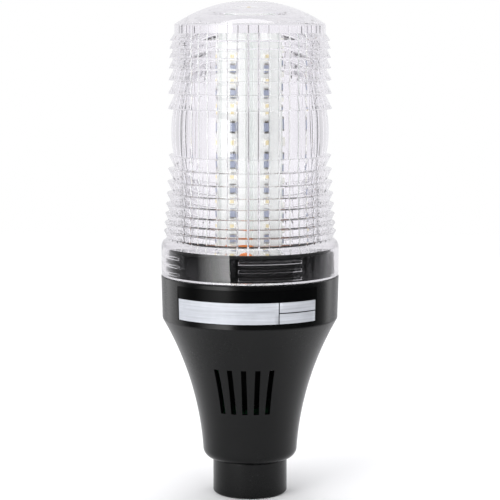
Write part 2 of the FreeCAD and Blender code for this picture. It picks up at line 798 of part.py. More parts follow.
def make_base_board():
    body = new_body("led_base_board")
    outline = new_sketch(body, "board_outline", "XY_Plane", push=plate_top)
    add_circle(outline, "0", "0", "base_board_diameter / 2")
    for side in ("", "-"):
        add_circle(outline, "0", f"{side}pillar_screw_circle", screw_hole)
    extrude(body, outline, "board_pad", "board_thickness")
    return body


def make_led_pillar():
    body = new_body("led_pillar")
    outline = new_sketch(body, "pillar_outline", "XY_Plane", push=board_top)
    add_hexagon(outline, "pillar_across_flats", heading("pillar_turn"))
    extrude(body, outline, "pillar_pad", f"{pillar_top} - {board_top}")
    inside = new_sketch(body, "pillar_inside", "XY_Plane", push=pillar_top)
    add_hexagon(inside, "(pillar_across_flats - 2 * pillar_wall)", heading("pillar_turn"))
    extrude(body, inside, "pillar_hollow", f"{pillar_top} - {board_top} - pillar_floor", "Pocket")
    pilots = new_sketch(body, "pillar_pilots", "XY_Plane", push=f"{board_top} + pillar_floor")
    for side in ("", "-"):
        add_circle(pilots, "0", f"{side}pillar_screw_circle", screw_pilot)
    extrude(body, pilots, "pillar_pilot_cut", "pillar_floor", "Pocket")
    return body


def make_pillar_screws():
    bite = measure("plate_thickness + board_thickness + pillar_screw_bite")
    screw = screw_solid(measure("screw_head_height"), measure("base_screw_diameter / 2"), bite)
    screw.rotate(Vector(), Vector(1, 0, 0), 180)
    level = measure(plate_foot)
    places = [place_round(measure("pillar_screw_circle"), angle, level) for angle in (90, 270)]
    return make_group("pillar_screws", screw, places)


# Directions of the six faces of the pillar
def face_angles():
    first = measure(heading("pillar_turn")) + 30
    return [first + 60 * face for face in range(6)]


def make_led_boards():
    boards = []
    for number, angle in enumerate(face_angles(), 1):
        board = doc.addObject("Part::Box", f"led_board_{number}")
        board.Label = f"led_board_{number}"
        board.setExpression("Length", bound("strip_thickness"))
        board.setExpression("Width", bound("strip_width"))
        board.setExpression("Height", bound(f"{pillar_top} - strip_drop - {board_top}"))
        face = place_round(measure("pillar_across_flats / 2"), angle, measure(board_top))
        board.Placement = face.multiply(Placement(Vector(0, -measure("strip_width / 2"), 0), Rotation()))
        boards.append(board)
    return boards


# A chip that lies flat on the outer side of a strip board, centred on its place
def chip_solid(depth, width, height):
    return Part.makeBox(depth, width, height, Vector(0, -width / 2, -height / 2))


def strip_places(rows, offset):
    reach = measure("pillar_across_flats / 2 + strip_thickness")
    foot = measure(f"{board_top} + led_first") + offset
    pitch = measure("led_pitch")
    return [place_round(reach, angle, foot + row * pitch) for angle in face_angles() for row in range(rows)]


def make_board_leds():
    led = chip_solid(measure("led_depth"), measure("led_width"), measure("led_height"))
    return make_group("board_leds", led, strip_places(count_of("led_rows"), 0))


def make_board_resistors():
    chip = chip_solid(measure("resistor_depth"), measure("resistor_width"), measure("resistor_height"))
    places = strip_places(count_of("led_rows") - 1, measure("led_pitch / 2"))
    return make_group("board_resistors", chip, places)


def make_top_board():
    body = new_body("top_board")
    outline = new_sketch(body, "top_outline", "XY_Plane", push=pillar_top)
    add_hexagon(outline, "pillar_across_flats", heading("pillar_turn"))
    extrude(body, outline, "top_pad", "strip_thickness")
    return body


def make_top_leds():
    width = measure("led_width")
    led = Part.makeBox(width, width, measure("led_depth"), Vector(-width / 2, -width / 2, 0))
    level = measure(f"{pillar_top} + strip_thickness")
    count = count_of("top_led_count")
    circle = measure("top_led_circle")
    places = [place_round(circle, -90 + 360 * number / count, level) for number in range(count)]
    return make_group("top_leds", led, places)


def make_disc_capacitor():
    near = "-(disc_circle + disc_thickness / 2)"
    level = f"{board_top} + disc_diameter / 2"
    return make_rod("disc_capacitor", "disc_diameter / 2", "disc_thickness", "0", near, level)


def make_driver_board():
    body = new_body("driver_board")
    outline = new_sketch(body, "driver_outline", "XZ_Plane")
    shoulder = f"({plate_foot} - driver_drop)"
    tongue_top = f"({plate_top} - edge_socket_height + tongue_grip)"
    half = "(driver_width / 2)"
    tongue = "(tongue_width / 2)"
    add_outline(outline, [
        (f"-{half}", "driver_foot"),
        (half, "driver_foot"),
        (half, shoulder),
        (tongue, shoulder),
        (tongue, tongue_top),
        (f"-{tongue}", tongue_top),
        (f"-{tongue}", shoulder),
        (f"-{half}", shoulder),
    ])
    for side in ("", "-"):
        add_circle(outline, f"{side}lug_spacing / 2", f"{shoulder} - lug_overlap / 2", screw_hole)
    board = extrude(body, outline, "driver_pad", "board_thickness")
    board.Midplane = True
    return body


def make_driver_screws():
    bite = measure("board_thickness + driver_screw_bite")
    screw = screw_solid(measure("screw_head_height"), measure("base_screw_diameter / 2"), bite)
    screw.rotate(Vector(), Vector(1, 0, 0), 90)
    level = measure(f"{plate_foot} - driver_drop - lug_overlap / 2")
    near = -measure("board_thickness / 2")
    half = measure("lug_spacing / 2")
    places = [Placement(Vector(side * half, near, level), Rotation()) for side in (-1, 1)]
    return make_group("driver_board_screws", screw, places)


def make_board_socket():
    foot = f"({plate_top} - edge_socket_height)"
    shell = make_block("socket_shell", "edge_socket_length", "edge_socket_width", "edge_socket_height",
                       "-edge_socket_width / 2", foot)
    slot_width = "(tongue_width + 2 * seat_clearance)"
    slot_depth = "(board_thickness + 2 * seat_clearance)"
    slot = make_block("socket_slot", slot_width, slot_depth, "edge_socket_slot", f"-{slot_depth} / 2", foot)
    return cut_away("board_socket", shell, [slot])


buzzer_level = "(slot_level + slot_height / 2)"
board_face = "(board_thickness / 2)"


def make_buzzer_case():
    front = f"-({board_face} + buzzer_depth)"
    case = make_rod("buzzer_shell", "buzzer_diameter / 2", "buzzer_depth", "0", front, buzzer_level)
    mouth_radius = "buzzer_diameter / 2 - buzzer_wall"
    mouth = make_rod("buzzer_mouth", mouth_radius, "buzzer_recess", "0", front, buzzer_level)
    return cut_away("buzzer_case", case, [mouth])


def make_buzzer_plate():
    near = f"-({board_face} + buzzer_depth - buzzer_recess + buzzer_plate_thickness)"
    radius = "buzzer_diameter / 2 - buzzer_wall - seat_clearance"
    return make_rod("buzzer_plate", radius, "buzzer_plate_thickness", "0", near, buzzer_level)


# How far each way of the terminal block lies from its middle
def terminal_offsets():
    middle = "(terminal_ways - 1) / 2"
    return [f"(({way} - {middle}) * terminal_pitch)" for way in range(count_of("terminal_ways"))]


def make_terminal_block():
    width = "(terminal_ways * terminal_pitch)"
    shell = make_block("terminal_shell", width, "terminal_depth", "terminal_height",
                       board_face, "terminal_level")
    tools = []
    well_foot = f"({board_face} + terminal_depth - terminal_screw_length)"
    well_radius = "terminal_screw_diameter / 2 + thread_fit"
    for way, offset in enumerate(terminal_offsets(), 1):
        level = "terminal_level + terminal_height - terminal_pitch / 2"
        well = make_rod(f"screw_well_{way}", well_radius, "terminal_screw_length", offset, well_foot, level)
        tools.append(well)
        entry = doc.addObject("Part::Cylinder", f"wire_entry_{way}")
        entry.setExpression("Radius", bound("wire_entry_diameter / 2"))
        entry.setExpression("Height", bound("wire_entry_depth"))
        entry.setExpression("Placement.Base.x", bound(offset))
        entry.setExpression("Placement.Base.y", bound(f"{board_face} + terminal_depth / 2"))
        entry.setExpression("Placement.Base.z", bound("terminal_level"))
        tools.append(entry)
    return cut_away("terminal_block", shell, tools)


def make_terminal_screws():
    radius = measure("terminal_screw_diameter / 2")
    length = measure("terminal_screw_length")
    screw = Part.makeCylinder(radius, length, Vector(), Vector(0, 1, 0))
    near = measure(f"{board_face} + terminal_depth - terminal_screw_length")
    level = measure("terminal_level + terminal_height - terminal_pitch / 2")
    places = [Placement(Vector(measure(offset), near, level), Rotation()) for offset in terminal_offsets()]
    return make_group("terminal_screws", screw, places)


def make_reservoir_capacitor():
    radius = "reservoir_diameter / 2"
    return make_rod("reservoir_capacitor", radius, "reservoir_length", "0", board_face, "reservoir_level")


def make_driver_chip():
    near = f"-({board_face} + chip_depth)"
    return make_block("driver_chip", "chip_width", "chip_depth", "chip_height", near, "chip_level")


sub_parts.append(make_pole_socket())
sub_parts.append(make_socket_nut())
sub_parts.append(make_clamp_screws())
sub_parts.append(make_bell_housing())
sub_parts.append(make_name_label())
sub_parts.append(make_label_fields())
sub_parts.append(make_lens_base())
sub_parts.append(make_lens_seal())
sub_parts.append(make_base_screws())
sub_parts.append(make_drum_lens())
sub_parts.append(make_base_board())
sub_parts.append(make_led_pillar())
sub_parts.append(make_pillar_screws())
sub_parts.extend(make_led_boards())
sub_parts.append(make_board_leds())
sub_parts.append(make_board_resistors())
sub_parts.append(make_top_board())
sub_parts.append(make_top_leds())
sub_parts.append(make_disc_capacitor())
sub_parts.append(make_driver_board())
sub_parts.append(make_driver_screws())
sub_parts.append(make_board_socket())
sub_parts.append(make_buzzer_case())
sub_parts.append(make_buzzer_plate())
sub_parts.append(make_terminal_block())
sub_parts.append(make_terminal_screws())
sub_parts.append(make_reservoir_capacitor())
sub_parts.append(make_driver_chip())

doc.recompute()

# Nothing is written unless every object is sound
for item in doc.Objects:
    if "Invalid" in item.State or "Error" in item.State:
        raise RuntimeError(f"{item.Label} failed: {item.State}")
for piece in sub_parts:
    if piece.Shape.isNull() or not piece.Shape.isValid() or not piece.Shape.Solids:
        raise RuntimeError(f"{piece.Label} has no sound solid")

os.makedirs("parts", exist_ok=True)
for piece in sub_parts:
    piece.Shape.exportStep(f"parts/{piece.Label}.step")
    box = piece.Shape.BoundBox
    print(f"{piece.Label}: {len(piece.Shape.Solids)} solid(s), {piece.Shape.Volume:.1f} mm3, "
          f"z {box.ZMin:.2f} to {box.ZMax:.2f}")
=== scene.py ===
import math

import bpy
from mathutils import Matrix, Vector


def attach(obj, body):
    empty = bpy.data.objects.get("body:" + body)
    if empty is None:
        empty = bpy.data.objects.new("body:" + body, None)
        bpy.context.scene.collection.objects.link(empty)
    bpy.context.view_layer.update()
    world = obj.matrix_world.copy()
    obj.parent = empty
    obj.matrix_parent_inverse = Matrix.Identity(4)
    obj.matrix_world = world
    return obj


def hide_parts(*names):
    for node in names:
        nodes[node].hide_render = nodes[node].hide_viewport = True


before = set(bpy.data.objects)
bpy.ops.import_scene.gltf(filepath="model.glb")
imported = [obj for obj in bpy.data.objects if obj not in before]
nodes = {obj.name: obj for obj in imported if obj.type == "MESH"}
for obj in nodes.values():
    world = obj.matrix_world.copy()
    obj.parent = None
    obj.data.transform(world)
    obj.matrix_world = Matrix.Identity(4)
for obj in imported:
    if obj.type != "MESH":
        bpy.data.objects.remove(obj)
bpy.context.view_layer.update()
scene = bpy.context.scene
mm = 0.001  # pieces and camera are in millimetres and degrees, the studio is in metres
print("frame loaded,", len(nodes), "nodes")


# Modelling helpers

shaping = {
    "outlineWeld": 0.002,
    "solidWeld": 0.001,
    "arcMargin": 0.2,  # flat beside an arc, as a share of its radius
    "cornerTurn": 25,  # a corner that turns less is left alone
    "cornerShare": 0.3,  # the most of a side that a rounded corner takes
    "cornerMargin": 1.3,  # flat beside a rounded corner, as a share of its cut
    "cornerSteps": 4,
    "sharpEdge": 35,
}


def letGo():
    bpy.ops.object.select_all(action="DESELECT")


def take(piece):
    letGo()
    piece.select_set(True)
    bpy.context.view_layer.objects.active = piece


# a bare outline, radius and height pairs, drawn by pushing one vertex from point to point
def drawOutline(name, outline):
    letGo()
    bpy.ops.mesh.primitive_plane_add(size=mm)
    piece = bpy.context.object
    piece.name = name
    piece.data.name = name
    bpy.ops.object.mode_set(mode="EDIT")
    bpy.ops.mesh.select_mode(type="VERT")
    bpy.ops.mesh.merge(type="CENTER")
    spots = [Vector((radius * mm, 0, height * mm)) for radius, height in outline]
    bpy.ops.transform.translate(value=spots[0])
    for here, there in zip(spots, spots[1:]):
        bpy.ops.mesh.extrude_vertices_move(TRANSFORM_OT_translate={"value": there - here})
    return piece


# spins the outline that is being edited into a closed skin
def turnOutline(columns):
    bpy.ops.mesh.select_all(action="SELECT")
    bpy.ops.mesh.spin(steps=columns, angle=2 * math.pi, center=(0, 0, 0), axis=(0, 0, 1))
    bpy.ops.mesh.select_all(action="SELECT")
    bpy.ops.mesh.remove_doubles(threshold=shaping["outlineWeld"] * mm)
    bpy.ops.mesh.normals_make_consistent(inside=False)


# points on the arc between two corners, without the first; side is 1 for a centre on the left
def bow(start, end, radius, side, steps):
    start, end = Vector(start), Vector(end)
    chord = end - start
    across = Vector((-chord.y, chord.x)).normalized()
    centre = (start + end) / 2 + across * side * math.sqrt(radius ** 2 - chord.length ** 2 / 4)
    first = math.atan2(start.y - centre.y, start.x - centre.x)
    last = math.atan2(end.y - centre.y, end.x - centre.x)
    swing = (last - first + math.pi) % (2 * math.pi) - math.pi
    points = []
    for step in range(1, steps + 1):
        angle = first + swing * step / steps
        points.append((centre.x + radius * math.cos(angle), centre.y + radius * math.sin(angle)))
    return points


# one corner of an outline as an arc, turning right, with a point beside each end so that flats stay flat
def roundCorner(before, corner, after, radius, steps):
    corner = Vector(corner)
    back = (Vector(before) - corner).normalized()
    ahead = (Vector(after) - corner).normalized()
    cut = radius / math.tan(back.angle(ahead) / 2)
    beside = cut + shaping["arcMargin"] * radius
    start = corner + back * cut
    arc = bow(start, corner + ahead * cut, radius, -1, steps)
    return [tuple(corner + back * beside), tuple(start), *arc, tuple(corner + ahead * beside)]


# a closed outline with its sharp corners rounded, and a point beside each so that flats stay flat
def softOutline(outline, reach):
    soft = []
    steps = shaping["cornerSteps"]
    for index, corner in enumerate(outline):
        here = Vector(corner)
        back = Vector(outline[index - 1]) - here
        ahead = Vector(outline[(index + 1) % len(outline)]) - here
        if back.angle(-ahead) < math.radians(shaping["cornerTurn"]):
            soft.append(corner)
            continue
        cut = min(reach, shaping["cornerShare"] * back.length, shaping["cornerShare"] * ahead.length)
        start = here + back.normalized() * cut
        end = here + ahead.normalized() * cut
        soft.append(tuple(here + back.normalized() * cut * shaping["cornerMargin"]))
        for share in [step / steps for step in range(steps + 1)]:
            bend = start * (1 - share) ** 2 + here * 2 * share * (1 - share) + end * share ** 2
            soft.append(tuple(bend))
        soft.append(tuple(here + ahead.normalized() * cut * shaping["cornerMargin"]))
    return soft + soft[:1]


# selects what passes a test on its place, in edit mode
def pickVerts(piece, test):
    bpy.ops.mesh.select_mode(type="VERT")
    bpy.ops.mesh.select_all(action="DESELECT")
    bpy.ops.object.mode_set(mode="OBJECT")
    for vert in piece.data.vertices:
        vert.select = test(vert.co)
    bpy.ops.object.mode_set(mode="EDIT")


def pickFaces(piece, test):
    bpy.ops.mesh.select_mode(type="FACE")
    bpy.ops.mesh.select_all(action="DESELECT")
    bpy.ops.object.mode_set(mode="OBJECT")
    for face in piece.data.polygons:
        face.select = test(face)
    bpy.ops.object.mode_set(mode="EDIT")


def angleOf(place):
    return math.degrees(math.atan2(place.y, place.x))


def radiusOf(place):
    return math.hypot(place.x, place.y) / mm


# degrees from +X of a place given in degrees round from the front
def heading(turn):
    return turn - 90


# the spot at a radius, a direction in degrees from +X and a level
def spotAt(radius, angle, level):
    turn = math.radians(angle)
    return Vector((radius * math.cos(turn), radius * math.sin(turn), level)) * mm


def applyPlace(piece):
    take(piece)
    bpy.ops.object.transform_apply(location=True, rotation=True, scale=True)


# an upright rod with its middle at a spot, or turned there
def addRod(sides, radius, length, spot, turn=(0, 0, 0)):
    letGo()
    bpy.ops.mesh.primitive_cylinder_add(vertices=sides, radius=radius * mm, depth=length * mm)
    piece = bpy.context.object
    piece.rotation_euler = turn
    piece.location = spot
    applyPlace(piece)
    return piece


# a block that faces +X, with the middle of its back at the origin, left in edit mode
def addBlock(name, depth, width, height):
    letGo()
    bpy.ops.mesh.primitive_cube_add(size=1)
    piece = bpy.context.object
    piece.name = name
    bpy.ops.object.mode_set(mode="EDIT")
    bpy.ops.transform.resize(value=(depth * mm, width * mm, height * mm))
    bpy.ops.transform.translate(value=(depth / 2 * mm, 0, 0))
    return piece


def carve(piece, tool, operation):
    change = piece.modifiers.new(operation.lower(), "BOOLEAN")
    change.operation = operation
    change.solver = "EXACT"
    change.object = tool
    take(piece)
    bpy.ops.object.modifier_apply(modifier=change.name)
    bpy.data.objects.remove(tool)


def bevelEdges(piece, width, segments):
    change = piece.modifiers.new("edges", "BEVEL")
    change.width = width * mm
    change.segments = segments
    change.limit_method = "ANGLE"
    change.angle_limit = math.radians(shaping["sharpEdge"])
    take(piece)
    bpy.ops.object.modifier_apply(modifier=change.name)


# own copies of a model at several places, joined into one piece
def copyRound(model, name, places):
    copies = []
    for location, rotation in places:
        take(model)
        bpy.ops.object.duplicate(linked=False)
        copy = bpy.context.object
        copy.location = location
        copy.rotation_euler = rotation
        copies.append(copy)
    bpy.data.objects.remove(model)
    for copy in copies:
        applyPlace(copy)
    letGo()
    for copy in copies:
        copy.select_set(True)
    bpy.context.view_layer.objects.active = copies[0]
    bpy.ops.object.join()
    piece = bpy.context.object
    piece.name = name
    piece.data.name = name
    return piece


# a merged copy of a solid, so that its round faces shade smoothly
def smoothCopy(node, name):
    take(nodes[node])
    bpy.ops.object.duplicate(linked=False)
    piece = bpy.context.object
    piece.name = name
    piece.data.name = name
    for key in list(piece.keys()):
        if key.startswith("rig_"):
            del piece[key]
    piece.parent = None
    bpy.ops.object.mode_set(mode="EDIT")
    bpy.ops.mesh.select_all(action="SELECT")
    bpy.ops.mesh.remove_doubles(threshold=shaping["solidWeld"] * mm)
    bpy.ops.object.mode_set(mode="OBJECT")
    return piece


def finishPiece(piece, body, materials, stands, smooth=shaping["sharpEdge"]):
    take(piece)
    bpy.ops.object.shade_smooth_by_angle(angle=math.radians(smooth), keep_sharp_edges=False)
    kept = [face.material_index for face in piece.data.polygons]
    piece.data.materials.clear()
    for material in materials:
        piece.data.materials.append(material)
    for face, index in zip(piece.data.polygons, kept):
        face.material_index = min(index, len(materials) - 1)
    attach(piece, body)
    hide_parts(*stands)
    print("made", piece.name, len(piece.data.polygons), "faces")


# Node helpers

# gives a node's inputs, each a socket to link or a value
def setInputs(tree, node, inputs):
    for name, given in inputs.items():
        if isinstance(given, bpy.types.NodeSocket):
            tree.links.new(given, node.inputs[name])
        else:
            node.inputs[name].default_value = given


# a node with its settings, and with its inputs as above
def addNode(tree, kind, inputs=(), **settings):
    node = tree.nodes.new(kind)
    for name, value in settings.items():
        setattr(node, name, value)
    setInputs(tree, node, dict(inputs))
    return node


def addMath(tree, operation, *given):
    return addNode(tree, "ShaderNodeMath", dict(enumerate(given)), operation=operation).outputs[0]


def addMix(tree, factor, first, second, blend="MIX"):
    inputs = {"Factor": factor, "A": first, "B": second}
    return addNode(tree, "ShaderNodeMix", inputs, data_type="RGBA", blend_type=blend).outputs["Result"]


# a value as a share of the way from start to end
def addRange(tree, value, start, end, kind="LINEAR"):
    inputs = {"Value": value, "From Min": start, "From Max": end}
    node = addNode(tree, "ShaderNodeMapRange", inputs, interpolation_type=kind)
    return node.outputs["Result"]


def newMaterial(name):
    material = bpy.data.materials.new(name)
    material.use_nodes = True
    return material, material.node_tree, material.node_tree.nodes["Principled BSDF"]


def startGroup(name, inputs, outputs):
    group = bpy.data.node_groups.new(name, "ShaderNodeTree")
    for label in inputs:
        group.interface.new_socket(label, in_out="INPUT", socket_type="NodeSocketFloat")
    for label in outputs:
        group.interface.new_socket(label, in_out="OUTPUT", socket_type="NodeSocketFloat")
    return group


# Finishes

grain = {"fineDetail": 3, "broadScale": 28, "broadDetail": 4, "bumpStrength": 0.4}
streak = {"spread": 35, "detail": 3, "middle": 0.5}


# fine moulded grain: a tone to multiply the colour with, a roughness and a bump height
def buildGrainGroup():
    given = ("Scale", "Mottle", "Gloss", "Gloss Spread")
    group = startGroup("mouldedGrain", given, ("Tone", "Roughness", "Height"))
    inputs = addNode(group, "NodeGroupInput").outputs
    place = addNode(group, "ShaderNodeTexCoord").outputs["Object"]
    fineInputs = {"Vector": place, "Scale": inputs["Scale"], "Detail": grain["fineDetail"]}
    fine = addNode(group, "ShaderNodeTexNoise", fineInputs).outputs["Fac"]
    broadInputs = {"Vector": place, "Scale": grain["broadScale"], "Detail": grain["broadDetail"]}
    broad = addNode(group, "ShaderNodeTexNoise", broadInputs).outputs["Fac"]
    swing = addMath(group, "SUBTRACT", addMath(group, "ADD", fine, broad), 1)  # from -1 to 1
    tone = addMath(group, "MULTIPLY_ADD", swing, inputs["Mottle"], 1)
    rough = addMath(group, "MULTIPLY_ADD", swing, inputs["Gloss Spread"], inputs["Gloss"])
    addNode(group, "NodeGroupOutput", {"Tone": tone, "Roughness": rough, "Height": fine})
    return group


# fine lines that run level round the object: a tone to multiply colour and roughness with
def buildStreakGroup():
    group = startGroup("levelStreaks", ("Lines", "Amount"), ("Tone",))
    inputs = addNode(group, "NodeGroupInput").outputs
    place = addNode(group, "ShaderNodeTexCoord").outputs["Object"]
    stretchInputs = {"X": streak["spread"], "Y": streak["spread"], "Z": inputs["Lines"]}
    stretch = addNode(group, "ShaderNodeCombineXYZ", stretchInputs).outputs["Vector"]
    drawn = addNode(group, "ShaderNodeVectorMath", {0: place, 1: stretch}, operation="MULTIPLY")
    noiseInputs = {"Vector": drawn.outputs["Vector"], "Scale": 1, "Detail": streak["detail"]}
    noise = addNode(group, "ShaderNodeTexNoise", noiseInputs).outputs["Fac"]
    middle = addMath(group, "SUBTRACT", noise, streak["middle"])
    addNode(group, "NodeGroupOutput", {"Tone": addMath(group, "MULTIPLY_ADD", middle, inputs["Amount"], 1)})
    return group


grainGroup = buildGrainGroup()
streakGroup = buildStreakGroup()


# a principled material with the grain on its colour, roughness and bump; streaks are lines and amount
def grainedMaterial(name, colour, gloss, spread=0.08, mottle=0.1, scale=900, depth=0.02, streaks=(),
                    shine=0.5, metal=0):
    material, tree, shader = newMaterial(name)
    inputs = {"Scale": scale, "Mottle": mottle, "Gloss": gloss, "Gloss Spread": spread}
    grained = addNode(tree, "ShaderNodeGroup", inputs, node_tree=grainGroup).outputs
    tint = addMix(tree, 1, (*colour, 1), grained["Tone"], "MULTIPLY")
    rough = grained["Roughness"]
    if streaks:
        inputs = {"Lines": streaks[0], "Amount": streaks[1]}
        lines = addNode(tree, "ShaderNodeGroup", inputs, node_tree=streakGroup).outputs["Tone"]
        tint = addMix(tree, 1, tint, lines, "MULTIPLY")
        rough = addMath(tree, "MULTIPLY", rough, lines)
    inputs = {"Strength": grain["bumpStrength"], "Distance": depth * mm, "Height": grained["Height"]}
    bump = addNode(tree, "ShaderNodeBump", inputs).outputs["Normal"]
    setInputs(tree, shader, {"Base Color": tint, "Roughness": rough, "Normal": bump,
                             "Specular IOR Level": shine, "Metallic": metal})
    return material


# the outer part of a round board, under black lacquer
def lacquerRim(material, look):
    tree = material.node_tree
    shader = tree.nodes["Principled BSDF"]
    board = shader.inputs["Base Color"].links[0].from_socket
    place = addNode(tree, "ShaderNodeTexCoord").outputs["Object"]
    flat = addNode(tree, "ShaderNodeVectorMath", {0: place, 1: (1, 1, 0)}, operation="MULTIPLY")
    reach = addNode(tree, "ShaderNodeVectorMath", {0: flat.outputs["Vector"]}, operation="LENGTH")
    edge = addRange(tree, reach.outputs["Value"], look["start"] * mm, look["end"] * mm)
    setInputs(tree, shader, {"Base Color": addMix(tree, edge, board, (*look["colour"], 1))})


# clear plastic that lets the light of the lamps and of pale surfaces straight through
def clearMaterial(name, look):
    material, tree, shader = newMaterial(name)
    place = addNode(tree, "ShaderNodeTexCoord").outputs["Object"]
    inputs = {"Vector": place, "Scale": look["waveScale"], "Detail": 1}
    waves = addNode(tree, "ShaderNodeTexNoise", inputs).outputs["Fac"]  # slow waviness of the moulding
    inputs = {"Strength": 1, "Distance": look["waveDepth"] * mm, "Height": waves}
    bump = addNode(tree, "ShaderNodeBump", inputs).outputs["Normal"]
    setInputs(tree, shader, {"Base Color": (*look["tint"], 1), "Transmission Weight": 1, "Normal": bump,
                             "IOR": look["bending"], "Roughness": look["roughness"]})
    through = addNode(tree, "ShaderNodeBsdfTransparent").outputs["BSDF"]
    rays = addNode(tree, "ShaderNodeLightPath").outputs
    soft = addMath(tree, "MAXIMUM", rays["Is Shadow Ray"], rays["Is Diffuse Ray"])
    choice = addNode(tree, "ShaderNodeMixShader", {"Fac": soft, 1: shader.outputs["BSDF"], 2: through})
    setInputs(tree, tree.nodes["Material Output"], {"Surface": choice.outputs["Shader"]})
    return material


lensLook = {
    "tint": (0.978, 0.974, 0.988),
    "bending": 1.49,
    "roughness": 0.02,
    "waveScale": 70,
    "waveDepth": 0.01,
}
rimLook = {"start": 21.3, "end": 21.7, "colour": (0.004, 0.004, 0.0045)}

clearPlastic = clearMaterial("clearPlastic", lensLook)
housingBlack = grainedMaterial("housingBlack", (0.0014, 0.0016, 0.0017), 0.26, scale=1600, depth=0.015,
                               shine=0.22)
baseBlack = grainedMaterial("baseBlack", (0.0016, 0.0016, 0.0018), 0.2, scale=1200, depth=0.01,
                            streaks=(1300, 1.5), shine=0.3)
labelBlack = grainedMaterial("labelBlack", (0.0012, 0.0013, 0.0014), 0.3, spread=0.04, scale=2500,
                             depth=0.004, shine=0.06)
labelSilver = grainedMaterial("labelSilver", (0.4, 0.415, 0.45), 0.45, mottle=0.25, scale=240,
                              depth=0.004, streaks=(1400, 0.8))
sealRubber = grainedMaterial("sealRubber", (0.012, 0.012, 0.012), 0.7, scale=1500)
boardWhite = grainedMaterial("boardWhite", (0.8, 0.81, 0.8), 0.35, mottle=0.06, scale=500, depth=0.006)
boardBrown = grainedMaterial("boardBrown", (0.28, 0.085, 0.03), 0.45, mottle=0.3, scale=420, depth=0.01)
lacquerRim(boardBrown, rimLook)
boardGreen = grainedMaterial("boardGreen", (0.02, 0.12, 0.05), 0.35, mottle=0.15, scale=420, depth=0.006)
carrierWhite = grainedMaterial("carrierWhite", (0.68, 0.71, 0.695), 0.5, mottle=0.05, scale=800,
                               depth=0.015)
ledShell = grainedMaterial("ledShell", (0.85, 0.84, 0.8), 0.4, mottle=0.05, scale=1500, depth=0.005)
ledResin = grainedMaterial("ledResin", (0.8, 0.7, 0.45), 0.2, mottle=0.15, scale=1300, depth=0.004)
chipSlate = grainedMaterial("chipSlate", (0.3, 0.33, 0.43), 0.4, mottle=0.2, scale=1500, depth=0.005)
chipTin = grainedMaterial("chipTin", (0.72, 0.7, 0.66), 0.3, mottle=0.15, scale=1500, depth=0.01, metal=1)
discOrange = grainedMaterial("discOrange", (0.8, 0.24, 0.06), 0.25, mottle=0.15, scale=500)
sleeveDark = grainedMaterial("sleeveDark", (0.02, 0.024, 0.05), 0.3, scale=700, depth=0.01)
screwSteel = grainedMaterial("screwSteel", (0.5, 0.5, 0.5), 0.32, mottle=0.2, depth=0.01, metal=1)
# painted shade: the sounder plate and case are coloured black to stand in for the unlit inside of the
# housing seen through the sound slots
sounderPaintedShade = grainedMaterial("sounderPaintedShade", (0.0015, 0.0015, 0.0016), 0.5, mottle=0.2, scale=600,
                               depth=0.01, shine=0.08)
terminalGreen = grainedMaterial("terminalGreen", (0.03, 0.2, 0.06), 0.45, depth=0.015)
print("finishes ready")


# Drum lens

lens = {
    "foot": 108.1,
    "collarRadius": 43.0,
    "collarInner": 41.0,
    "footRound": 0.25,
    "footSteps": 3,
    "footChamfer": 0.9,
    "ceiling": 121.8,
    "shoulderFoot": 121.6,
    "shoulderSteps": 8,
    "shoulderCut": 3,  # steps that the round at the end of the shoulder takes up
    "shoulderRound": 1.5,
    "lowerEnd": 125.8,
    "lowerRings": 8,
    "lowerFirst": 6.6,
    "lowerRatio": 0.92,
    "lowerTips": (39.2, 41.7),
    "upperRings": 7,
    "upperFirst": 7.25,
    "upperRatio": 0.88,
    "upperTips": (39.5, 38.5),
    "flankSlope": 0.48,
    "tipBlunt": 0.15,
    "rootRound": 0.55,
    "rootSteps": 4,
    "barrelHeight": 22.1,
    "barrelEdge": 36.7,
    "barrelBulge": 1.2,
    "barrelSteps": 20,
    "capRadius": 36.2,
    "capHeight": 4.5,
    "domeRise": 11.2,
    "domeBends": 24,
    "domeWall": 2.6,
    "domeSlope": 0.6,
    "domeSteps": (33.4, 25.6, 17.8, 10.0),
    "flutes": 44,
    "fluteColumns": 8,
    "fluteDepth": 0.45,
    "crestWidth": 0.85,
    "fluteTurn": 4.0,
    "barLevels": (109.8, 113.6, 117.4),
    "barThickness": 1.5,
    "barTip": 39.6,
    "barEdge": 0.4,
    "barEdgeSteps": 2,
    "barSpan": 43.0,
    "barTurn": 18.9,
    "barGroups": 4,
    "pickMargin": 0.02,
    "sharpEdge": 30,
}


def ringReach(side, rings):
    ratio = lens[side + "Ratio"]
    return lens[side + "First"] * (1 - ratio ** rings) / (1 - ratio)


def between(ends, share):
    return ends[0] + (ends[1] - ends[0]) * share


